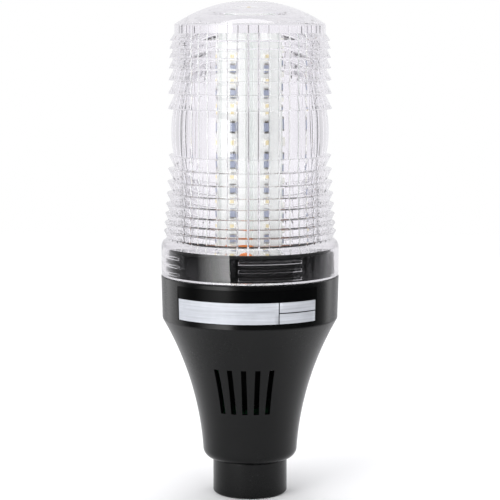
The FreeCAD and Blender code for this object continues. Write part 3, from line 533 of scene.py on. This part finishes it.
def lensOutline():
    barrelFoot = lens["lowerEnd"] + ringReach("lower", lens["lowerRings"])
    barrelTop = barrelFoot + lens["barrelHeight"]
    upperEnd = barrelTop + ringReach("upper", lens["upperRings"])
    capTop = upperEnd + lens["capHeight"]
    apex = capTop + lens["domeRise"]
    domeRadius = (lens["capRadius"] ** 2 + lens["domeRise"] ** 2) / (2 * lens["domeRise"])
    # inside, from the middle of the dome over its sloped steps down to the collar's foot
    steps = lens["domeSteps"]
    levels = []
    for radius in steps:
        drop = domeRadius - math.sqrt(domeRadius ** 2 - radius ** 2)
        levels.append(apex - drop - lens["domeWall"])
    coreTop = levels[0]
    slope = lens["domeSlope"]
    outline = [(0, between((levels[-1], apex - lens["domeWall"]), slope))]
    for step in reversed(range(1, len(steps))):
        outline.append((steps[step], levels[step]))
        outline.append((steps[step], between((levels[step - 1], levels[step]), slope)))
    outline.append((steps[0], coreTop))
    inner = lens["collarInner"]
    outline += [(steps[0], lens["ceiling"]), (inner, lens["ceiling"])]
    for level in reversed(lens["barLevels"]):
        outline += [(inner, level + lens["barThickness"]), (inner, level)]
    # outside, up the collar and over the shoulder to the lower rings
    chamfer = lens["footChamfer"]
    outline += [(inner, lens["foot"] + chamfer), (inner + chamfer, lens["foot"])]
    soft = lens["footRound"]
    start = (lens["collarRadius"] - soft, lens["foot"])
    outline.append(start)
    outline += bow(start, (lens["collarRadius"], lens["foot"] + soft), soft, 1, lens["footSteps"])
    start = (lens["collarRadius"], lens["shoulderFoot"])
    outline.append(start)
    blunt = lens["tipBlunt"]
    roots = []
    for ring in reversed(range(lens["lowerRings"])):
        tip = between(lens["lowerTips"], ring / (lens["lowerRings"] - 1))
        root = tip - lens["flankSlope"] * lens["lowerFirst"] * lens["lowerRatio"] ** ring
        foot = (root, barrelFoot - ringReach("lower", ring + 1))
        if not roots:
            run = start[0] - foot[0]
            rise = foot[1] - start[1]
            shoulder = bow(start, foot, (run ** 2 + rise ** 2) / (2 * run), 1, lens["shoulderSteps"])
            outline += shoulder[:-lens["shoulderCut"]]
        roots.append(len(outline))
        outline.append(foot)
        top = barrelFoot - ringReach("lower", ring)
        outline += [(tip - blunt * lens["flankSlope"], top - blunt), (tip - blunt, top)]
    # barrel, upper rings, cap and dome
    start = (lens["barrelEdge"], barrelFoot)
    end = (lens["barrelEdge"], barrelTop)
    bulge = lens["barrelBulge"]
    barrelRadius = ((lens["barrelHeight"] / 2) ** 2 + bulge ** 2) / (2 * bulge)
    outline.append(start)
    outline += bow(start, end, barrelRadius, 1, lens["barrelSteps"])
    for ring in range(lens["upperRings"]):
        tip = between(lens["upperTips"], ring / (lens["upperRings"] - 1))
        root = tip - lens["flankSlope"] * lens["upperFirst"] * lens["upperRatio"] ** ring
        foot = barrelTop + ringReach("upper", ring)
        outline += [(tip - blunt, foot), (tip - blunt * lens["flankSlope"], foot + blunt)]
        roots.append(len(outline))
        outline.append((root, barrelTop + ringReach("upper", ring + 1)))
    roots.pop()  # the last ring ends at the cap
    outline[-1] = (lens["capRadius"], upperEnd)
    outline.append((lens["capRadius"], capTop))
    outline += bow((lens["capRadius"], capTop), (0, apex), domeRadius, 1, lens["domeBends"])
    for root in reversed(roots):
        radius = lens["shoulderRound"] if root == roots[0] else lens["rootRound"]
        corners = outline[root - 1:root + 2]
        outline[root:root + 1] = roundCorner(*corners, radius, lens["rootSteps"])
    return outline, coreTop


def makeLens():
    outline, coreTop = lensOutline()
    columns = lens["flutes"] * lens["fluteColumns"]
    pitch = 360 / columns
    piece = drawOutline("drumLens", outline)
    turnOutline(columns)
    # flutes of the bore: all columns but the crests are scaled outwards, the next ones drawn to the crest
    core = lens["domeSteps"][0]
    margin = lens["pickMargin"]

    def inBore(place, picked):
        aside = abs(radiusOf(place) - core) > lens["fluteDepth"] + margin
        if aside or place.z > (coreTop + margin) * mm:
            return False
        return round(angleOf(place) / pitch) % lens["fluteColumns"] in picked

    pickVerts(piece, lambda place: inBore(place, range(1, lens["fluteColumns"])))
    grow = (core + lens["fluteDepth"]) / core
    bpy.ops.transform.resize(value=(grow, grow, 1), center_override=(0, 0, 0))
    draw = math.radians(pitch) - lens["crestWidth"] / 2 / core
    for column, side in ((1, 1), (lens["fluteColumns"] - 1, -1)):
        pickVerts(piece, lambda place: inBore(place, [column]))
        bpy.ops.transform.rotate(value=side * draw, orient_axis="Z", center_override=(0, 0, 0))
    # thread bars, pulled in from the wall of the collar
    offset = lens["barTurn"] - lens["fluteTurn"]
    share = 360 / lens["barGroups"]

    def onBar(face):
        if abs(radiusOf(face.center) - lens["collarInner"]) > margin:
            return False
        level = face.center.z / mm
        if not any(foot < level < foot + lens["barThickness"] for foot in lens["barLevels"]):
            return False
        away = (angleOf(face.center) - offset + share / 2) % share - share / 2
        return abs(away) < lens["barSpan"] / 2

    pickFaces(piece, onBar)
    bpy.ops.mesh.extrude_region_move()
    shrink = lens["barTip"] / lens["collarInner"]
    bpy.ops.transform.resize(value=(shrink, shrink, 1), center_override=(0, 0, 0))
    bpy.ops.mesh.region_to_loop()
    bpy.ops.mesh.bevel(offset=lens["barEdge"] * mm, segments=lens["barEdgeSteps"], affect="EDGES")
    bpy.ops.mesh.select_all(action="SELECT")
    bpy.ops.mesh.normals_make_consistent(inside=False)
    bpy.ops.object.mode_set(mode="OBJECT")
    piece.rotation_euler.z = math.radians(heading(lens["fluteTurn"]))
    applyPlace(piece)
    finishPiece(piece, "lens", [clearPlastic], ["drum_lens"], smooth=lens["sharpEdge"])


makeLens()


# Bell housing

bell = {
    "holeRadius": 14.7,
    "foot": 17.4,
    "footRadius": 23.0,
    "footRound": 5.0,
    "footSteps": 10,
    "floorTop": 20.4,
    "wall": 2.4,
    "bandFoot": 86.9,
    "bandFootRadius": 42.6,
    "rim": 107.8,
    "rimRadius": 43.1,
    "rimInner": 40.9,
    "ledge": 104.4,
    "ledgeInner": 38.4,
    "ledgeHeight": 2.0,
    "ledgeWidth": 2.5,
    "flareSag": 3.8,
    "flareSteps": 40,
    "insideSteps": 16,
    "edgeRound": 0.6,
    "columns": 240,
    "slots": 5,
    "slotSpacing": 12.0,
    "slotWidth": 2.5,
    "slotFoot": 43.5,
    "slotHeight": 22.5,
    "slotCut": 40.0,  # length of the cutter, and how far out its middle is
    "slotCutReach": 30.0,
    "posts": 3,
    "firstPost": 180.0,
    "postCircle": 32.7,
    "postRadius": 3.8,
    "postSides": 40,
    "postFoot": 77.6,
    "postTop": 100.0,
    "pilotRadius": 1.55,
    "pilotSides": 24,
    "pilotDepth": 11.5,
}


def bellOutline():
    footTop = bell["foot"] + bell["footRound"]
    outerFoot = (bell["footRadius"], footTop)
    outerTop = (bell["bandFootRadius"], bell["bandFoot"])
    innerTop = (bell["bandFootRadius"] - bell["wall"], bell["bandFoot"])
    innerFoot = (bell["footRadius"] - bell["wall"], footTop)
    chord = (Vector(outerTop) - Vector(outerFoot)).length
    sag = bell["flareSag"]
    flare = (chord ** 2 / 4 + sag ** 2) / (2 * sag)
    ledgeFoot = bell["ledge"] - bell["ledgeHeight"]
    start = (bell["footRadius"] - bell["footRound"], bell["foot"])
    outline = [(bell["holeRadius"], bell["foot"]), start]
    outline += bow(start, outerFoot, bell["footRound"], 1, bell["footSteps"])
    outline += bow(outerFoot, outerTop, flare, -1, bell["flareSteps"])
    outline += [(bell["rimRadius"], bell["rim"]), (bell["rimInner"], bell["rim"])]
    outline += [(bell["rimInner"], bell["ledge"]), (bell["ledgeInner"], bell["ledge"])]
    outline += [(bell["ledgeInner"], ledgeFoot), (innerTop[0], ledgeFoot - bell["ledgeWidth"]), innerTop]
    outline += bow(innerTop, innerFoot, flare, 1, bell["insideSteps"])
    outline += [(innerFoot[0], bell["floorTop"]), (bell["holeRadius"], bell["floorTop"])]
    return outline


def makeBell():
    piece = drawOutline("bellHousing", softOutline(bellOutline(), bell["edgeRound"]))
    turnOutline(bell["columns"])
    bpy.ops.object.mode_set(mode="OBJECT")
    # posts for the screws of the lens base, with their pilot holes
    top = bell["postTop"]
    foot = bell["postFoot"]
    for number in range(bell["posts"]):
        angle = heading(bell["firstPost"] + 360 / bell["posts"] * number)
        spot = spotAt(bell["postCircle"], angle, (top + foot) / 2)
        carve(piece, addRod(bell["postSides"], bell["postRadius"], top - foot, spot), "UNION")
        spot = spotAt(bell["postCircle"], angle, top)
        pilot = addRod(bell["pilotSides"], bell["pilotRadius"], 2 * bell["pilotDepth"], spot)
        carve(piece, pilot, "DIFFERENCE")
    # sound slots
    for number in range(bell["slots"]):
        angle = heading((number - (bell["slots"] - 1) / 2) * bell["slotSpacing"])
        letGo()
        bpy.ops.mesh.primitive_cube_add(size=1)
        slot = bpy.context.object
        slot.scale = Vector((bell["slotCut"], bell["slotWidth"], bell["slotHeight"])) * mm
        slot.rotation_euler.z = math.radians(angle)
        slot.location = spotAt(bell["slotCutReach"], angle, bell["slotFoot"] + bell["slotHeight"] / 2)
        applyPlace(slot)
        carve(piece, slot, "DIFFERENCE")
    finishPiece(piece, "stand", [housingBlack], ["bell_housing"])


makeBell()


# Pole socket

socket = {
    "radius": 18.1,
    "height": 17.4,
    "boreRadius": 11.1,
    "boreDepth": 22.0,
    "footChamfer": 0.8,
    "neckRadius": 14.5,
    "neckTop": 27.4,
    "wireRadius": 8.0,
    "edgeRound": 0.4,
    "columns": 160,
    "screwLevel": 9.0,
    "screwRadius": 2.55,
    "screwTurns": (135.0, 225.0),
    "drillSides": 36,
    "drillLength": 20.0,
    "drillReach": 15.0,
}


def socketOutline():
    outer = socket["radius"]
    bore = socket["boreRadius"]
    chamfer = socket["footChamfer"]
    outline = [(bore + chamfer, 0), (outer - chamfer, 0), (outer, chamfer), (outer, socket["height"])]
    outline += [(socket["neckRadius"], socket["height"]), (socket["neckRadius"], socket["neckTop"])]
    outline += [(socket["wireRadius"], socket["neckTop"]), (socket["wireRadius"], socket["boreDepth"])]
    return outline + [(bore, socket["boreDepth"]), (bore, chamfer)]


def makeSocket():
    piece = drawOutline("poleSocket", softOutline(socketOutline(), socket["edgeRound"]))
    turnOutline(socket["columns"])
    bpy.ops.object.mode_set(mode="OBJECT")
    for turn in socket["screwTurns"]:
        spot = spotAt(socket["drillReach"], heading(turn), socket["screwLevel"])
        lie = (0, math.pi / 2, math.radians(heading(turn)))
        drill = addRod(socket["drillSides"], socket["screwRadius"], socket["drillLength"], spot, lie)
        carve(piece, drill, "DIFFERENCE")
    finishPiece(piece, "stand", [housingBlack], ["pole_socket"])


makeSocket()

# lens base, seal, film and fields keep their solids' form with smooth sides
for node, name, slot, material in (
        ("lens_base", "lensBase", "black_housing", baseBlack),
        ("lens_seal", "lensSeal", "seal_rubber", sealRubber),
        ("name_label", "nameLabel", "label_film", labelBlack),
        ("label_fields", "labelFields", "silver_print", labelSilver)):
    finishPiece(smoothCopy(node, name), "stand", [material], [node])


# LED packages

led = {
    "width": 3.2,
    "height": 2.8,
    "depth": 1.4,
    "frame": 0.45,
    "sink": 0.3,
    "edge": 0.12,
    "boards": 6,
    "firstBoard": 35.0,
    "reach": 15.5,
    "firstLevel": 126.8,
    "pitch": 11.6,
    "rows": 8,
    "topLevel": 220.185,
    "topCircle": 7.0,
    "topCount": 3,
    "frontNormal": 0.9,
    "windowMargin": 0.02,
}


# places on the boards, in rows; shift lifts them by a share of the pitch
def boardPlaces(rows, shift=0):
    places = []
    for board in range(led["boards"]):
        angle = heading(led["firstBoard"] + 360 / led["boards"] * board)
        for row in range(rows):
            level = led["firstLevel"] + led["pitch"] * (row + shift)
            places.append((spotAt(led["reach"], angle, level), (0, 0, math.radians(angle))))
    return places


# one package that faces +X from its back, with a sunk resin window
def ledPackage(name, width, height):
    piece = addBlock(name, led["depth"], width, height)
    pickFaces(piece, lambda face: face.normal.x > led["frontNormal"])
    bpy.ops.mesh.inset(thickness=led["frame"] * mm)
    bpy.ops.mesh.extrude_region_move(TRANSFORM_OT_translate={"value": (-led["sink"] * mm, 0, 0)})
    bpy.ops.object.mode_set(mode="OBJECT")
    bevelEdges(piece, led["edge"], 1)
    piece.data.materials.append(ledShell)
    piece.data.materials.append(ledResin)
    window = (led["depth"] - led["sink"]) * mm
    for face in piece.data.polygons:
        inWindow = abs(face.center.x - window) < led["windowMargin"] * mm
        face.material_index = 1 if inWindow and face.normal.x > led["frontNormal"] else 0
    return piece


def makeLeds():
    model = ledPackage("ledModel", led["width"], led["height"])
    piece = copyRound(model, "boardLeds", boardPlaces(led["rows"]))
    finishPiece(piece, "stand", [ledShell, ledResin], ["board_leds"])
    places = []
    for number in range(led["topCount"]):
        angle = heading(360 / led["topCount"] * number)
        spot = spotAt(led["topCircle"], angle, led["topLevel"])
        places.append((spot, (0, -math.pi / 2, math.radians(angle))))
    piece = copyRound(ledPackage("topLedModel", led["width"], led["width"]), "topLeds", places)
    finishPiece(piece, "stand", [ledShell, ledResin], ["top_leds"])


makeLeds()


# Chip resistors

chip = {"width": 2.6, "height": 4.6, "depth": 0.9, "cap": 0.7, "edge": 0.08, "shift": 0.5}


def makeChips():
    model = addBlock("chipModel", chip["depth"], chip["width"], chip["height"])
    capFoot = (chip["height"] / 2 - chip["cap"]) * mm
    for level in (-capFoot, capFoot):
        bpy.ops.mesh.select_all(action="SELECT")
        bpy.ops.mesh.bisect(plane_co=(0, 0, level), plane_no=(0, 0, 1))
    bpy.ops.object.mode_set(mode="OBJECT")
    bevelEdges(model, chip["edge"], 1)
    model.data.materials.append(chipSlate)
    model.data.materials.append(chipTin)
    for face in model.data.polygons:
        face.material_index = 1 if abs(face.center.z) > capFoot else 0
    piece = copyRound(model, "boardChips", boardPlaces(led["rows"] - 1, chip["shift"]))
    finishPiece(piece, "stand", [chipSlate, chipTin], ["board_resistors"])


makeChips()


# Disc capacitor at the foot of the boards

disc = {
    "radius": 3.5,
    "thickness": 2.6,
    "middle": (0, -20.6, 123.3),
    "sides": 48,
    "rimRound": 1.1,
    "rimSteps": 5,
}


def makeDisc():
    spot = Vector(disc["middle"]) * mm
    piece = addRod(disc["sides"], disc["radius"], disc["thickness"], spot, (math.pi / 2, 0, 0))
    piece.name = "discCapacitor"
    bevelEdges(piece, disc["rimRound"], disc["rimSteps"])
    finishPiece(piece, "stand", [discOrange], ["disc_capacitor"])


makeDisc()


# Solids that stay as they are

def dress(material, *names):
    for name in names:
        nodes[name].data.materials.clear()
        nodes[name].data.materials.append(material)


dress(boardWhite, "top_board", *[f"led_board_{number + 1}" for number in range(led["boards"])])
dress(boardBrown, "led_base_board")
dress(boardGreen, "driver_board")
dress(carrierWhite, "led_pillar")
dress(housingBlack, "socket_nut", "board_socket")
dress(chipSlate, "driver_chip")
dress(sleeveDark, "reservoir_capacitor")
dress(screwSteel, "terminal_screws", "pole_clamp_screws", "base_screws", "pillar_screws",
      "driver_board_screws")
# the sounder plate and case take the black of the painted shade inside the housing
dress(sounderPaintedShade, "buzzer_plate", "buzzer_case")
dress(terminalGreen, "terminal_block")
print("solids dressed")


# Floor

ground = {
    "radius": 1.6,
    "sides": 96,
    "colour": (0.93, 0.93, 0.94),
    "roughness": 0.9,
    "shine": 0.1,
    "fade": (1.2, 0.35),  # clear beyond the first radius, solid within the second
    "mirrorFade": (0.4, 0.08),
}


def makeFloor():
    letGo()
    bpy.ops.mesh.primitive_circle_add(vertices=ground["sides"], radius=ground["radius"], fill_type="NGON")
    floor = bpy.context.object
    floor.name = "paleFloor"
    material, tree, shader = newMaterial("paleFloor")
    place = addNode(tree, "ShaderNodeTexCoord").outputs["Object"]
    away = addNode(tree, "ShaderNodeVectorMath", {0: place}, operation="LENGTH").outputs["Value"]
    # the floor fades out around the object, sooner where it is mirrored
    rays = addNode(tree, "ShaderNodeLightPath").outputs
    inputs = {
        "Factor": rays["Is Glossy Ray"],
        "A": addRange(tree, away, *ground["fade"], "SMOOTHSTEP"),
        "B": addRange(tree, away, *ground["mirrorFade"], "SMOOTHSTEP"),
    }
    both = addNode(tree, "ShaderNodeMix", inputs).outputs["Result"]
    setInputs(tree, shader, {"Base Color": (*ground["colour"], 1), "Roughness": ground["roughness"],
                             "Specular IOR Level": ground["shine"], "Alpha": both})
    floor.data.materials.append(material)
    floor.visible_transmission = False


makeFloor()


# Camera and surroundings

camera = {
    "distance": 815.69,
    "height": 219.87,
    "tilt": 7.0155,
    "turn": 5.4,
    "focal": 121.84,
    "sensor": 36,
    "nearest": 10,
}
sky = {
    "overhead": ((0, (0.4, 0.4, 0.4)), (0.25, (0.04, 0.04, 0.04)), (0.65, (0.04, 0.04, 0.04)),
                 (0.8, (0.4, 0.4, 0.41)), (1, (0.7, 0.7, 0.7))),
    "even": ((0, (0.8, 0.785, 0.815)), (0.22, (0.94, 0.925, 0.955)), (0.42, (0.97, 0.955, 0.985)),
             (0.78, (0.985, 0.97, 1)), (1, (0.8, 0.785, 0.815))),
    "panel": ((0, (0.03, 0.03, 0.03)), (0.4, (0.05, 0.05, 0.05)), (0.65, (0.15, 0.15, 0.15)),
              (0.85, (0.75, 0.75, 0.75)), (1, (1, 1, 1))),
    "behindFade": (0.1, -0.8),
    "behindColour": (0.9, 0.9, 0.92),
    "vaultFade": (0.45, 0.75),
    "vaultColour": (1.06, 1.06, 1.06),
    "backdrop": 1.07,
    "innerDim": 0.87,
    "guideDim": 0.87,
}


def makeCamera():
    letGo()
    spot = spotAt(camera["distance"], heading(camera["turn"]), camera["height"])
    lean = math.pi / 2 - math.radians(camera["tilt"])
    bpy.ops.object.camera_add(location=spot, rotation=(lean, 0, math.radians(camera["turn"])))
    eye = bpy.context.object
    eye.data.sensor_fit = "HORIZONTAL"
    eye.data.sensor_width = camera["sensor"]
    eye.data.lens = camera["focal"]
    eye.data.clip_start = camera["nearest"] * mm
    scene.camera = eye


# a colour ramp over a share from 0 to 1
def addRamp(tree, share, stops):
    node = addNode(tree, "ShaderNodeValToRGB", {"Fac": share})
    elements = node.color_ramp.elements
    for index in (0, -1):
        elements[index].position = stops[index][0]
        elements[index].color = (*stops[index][1], 1)
    for position, colour in stops[1:-1]:
        elements.new(position).color = (*colour, 1)
    return node.outputs["Color"]


# white to the camera, pale through the lens, and in reflections bright only overhead and behind the object
def makeWorld():
    world = bpy.data.worlds.new("softStudio")
    scene.world = world
    world.use_nodes = True
    tree = world.node_tree
    place = addNode(tree, "ShaderNodeTexCoord").outputs["Generated"]
    parts = addNode(tree, "ShaderNodeSeparateXYZ", {0: place}).outputs
    rays = addNode(tree, "ShaderNodeLightPath").outputs
    rise = addRange(tree, parts["Z"], -1, 1)  # 0 straight down, 0.5 at the horizon, 1 overhead
    overhead = addRamp(tree, rise, sky["overhead"])
    even = addRamp(tree, rise, sky["even"])
    # reflections: dim on the camera's side, bright behind the object
    turn = math.radians(heading(camera["turn"]))
    inputs = {0: place, 1: (math.cos(turn), math.sin(turn), 0)}
    ahead = addNode(tree, "ShaderNodeVectorMath", inputs, operation="DOT_PRODUCT").outputs["Value"]
    behind = addRange(tree, ahead, *sky["behindFade"], "SMOOTHSTEP")
    mirrored = addMix(tree, behind, overhead, (*sky["behindColour"], 1))
    # panels round about: dark on the camera's side, bright behind the object, overhead and underfoot
    azimuth = addMath(tree, "ARCTAN2", parts["X"], parts["Y"])
    wave = addMath(tree, "COSINE", addMath(tree, "ADD", azimuth, math.radians(camera["turn"])))
    panel = addRamp(tree, addRange(tree, wave, -1, 1), sky["panel"])
    vault = addRange(tree, addMath(tree, "ABSOLUTE", parts["Z"]), *sky["vaultFade"], "SMOOTHSTEP")
    allRound = addMix(tree, vault, panel, (*sky["vaultColour"], 1))
    panels = addMix(tree, 1, even, allRound, "MULTIPLY")

    def scaled(colour, amount):
        inputs = {0: colour, "Scale": amount}
        return addNode(tree, "ShaderNodeVectorMath", inputs, operation="SCALE").outputs["Vector"]

    # one colour for rays mirrored fewer times than this inside the lens, another for the rest
    def chosen(times, fewer, rest):
        return addMix(tree, addMath(tree, "GREATER_THAN", rays["Glossy Depth"], times - 0.5), fewer, rest)

    inside = chosen(2, scaled(panels, sky["innerDim"]), scaled(even, sky["guideDim"]))
    passed = chosen(1, scaled(even, sky["backdrop"]), inside)
    seen = addMix(tree, rays["Is Transmission Ray"], mirrored, passed)
    seen = addMix(tree, rays["Is Camera Ray"], seen, (1, 1, 1, 1))
    setInputs(tree, tree.nodes["Background"], {"Color": seen})


makeWorld()


# Lamps

lamps = {
    "topSoftbox": {"size": (1.2, 1.2), "place": (0, 0.1, 1.6), "target": (0, 0, 0.1), "energy": 9},
    "keySoftbox": {"size": (0.9, 0.7), "place": (-0.7, -1.0, 1.5), "target": (0, 0, 0.15), "energy": 5},
    "leftStrip": {"size": (0.9, 1.4), "place": (-1.1, 0.4, 0.1), "target": (0, 0, 0.12), "energy": 5},
    "rightStrip": {"size": (0.35, 1.1), "place": (0.95, 0.75, 0.35), "target": (0, 0, 0.12),
                   "energy": 2.1},
    "frontLeft": {"size": (1.1, 1.1), "place": (-0.918, -0.998, -0.05), "target": (0, 0, 0.05),
                  "energy": 14},
}
frontFade = (0, 2.2)  # brightness of the front softbox at its two sides
fill = {
    "turns": (-40, 40, 140, 220),
    "reach": 1.35,
    "height": 0.24,
    "look": {"size": (0.8, 0.4), "target": (0, 0, 0.16), "energy": 8.4, "mirrored": False},
}
# the strips draw the edges of the black pieces alone, and the front softbox leaves the boards out
receivers = {
    "blackPieces": {
        "lamps": ("leftStrip", "rightStrip"),
        "pieces": ("bellHousing", "poleSocket", "nameLabel"),
    },
    "litOutside": {
        "lamps": ("frontLeft",),
        "pieces": ("bellHousing", "poleSocket", "nameLabel", "labelFields", "lensBase", "drumLens",
                   "paleFloor"),
    },
}


def softbox(name, place, size, target, energy, mirrored=True):
    letGo()
    bpy.ops.object.light_add(type="AREA", location=place)
    lamp = bpy.context.object
    lamp.name = name
    lamp.data.shape = "RECTANGLE"
    lamp.data.size, lamp.data.size_y = size
    lamp.data.energy = energy
    lamp.rotation_euler = (Vector(place) - Vector(target)).to_track_quat("Z", "Y").to_euler()
    lamp.visible_camera = False
    lamp.visible_glossy = mirrored
    lamp.visible_transmission = False


# lets a softbox fade out from one side to the other
def fadeAcross(lamp, first, last):
    lamp.data.use_nodes = True
    tree = lamp.data.node_tree
    place = addNode(tree, "ShaderNodeNewGeometry").outputs["Parametric"]
    across = addNode(tree, "ShaderNodeSeparateXYZ", {0: place}).outputs["X"]
    fade = addNode(tree, "ShaderNodeMapRange", {"Value": across, "To Min": first, "To Max": last})
    setInputs(tree, tree.nodes["Emission"], {"Strength": fade.outputs["Result"]})


def makeLamps():
    for name, look in lamps.items():
        softbox(name, **look)
    fadeAcross(bpy.data.objects["frontLeft"], *frontFade)
    for name, share in receivers.items():
        group = bpy.data.collections.new(name)
        for piece in share["pieces"]:
            group.objects.link(bpy.data.objects[piece])
        for lamp in share["lamps"]:
            bpy.data.objects[lamp].light_linking.receiver_collection = group
    for number, turn in enumerate(fill["turns"]):
        angle = math.radians(heading(turn))
        spot = (fill["reach"] * math.cos(angle), fill["reach"] * math.sin(angle), fill["height"])
        softbox(f"fill{number + 1}", spot, **fill["look"])


makeLamps()
makeCamera()
scene.view_settings.view_transform = "Standard"
scene.cycles.max_bounces = 48
scene.cycles.transmission_bounces = 40
scene.cycles.glossy_bounces = 40
scene.cycles.caustics_reflective = False
scene.cycles.caustics_refractive = False
print("studio ready")
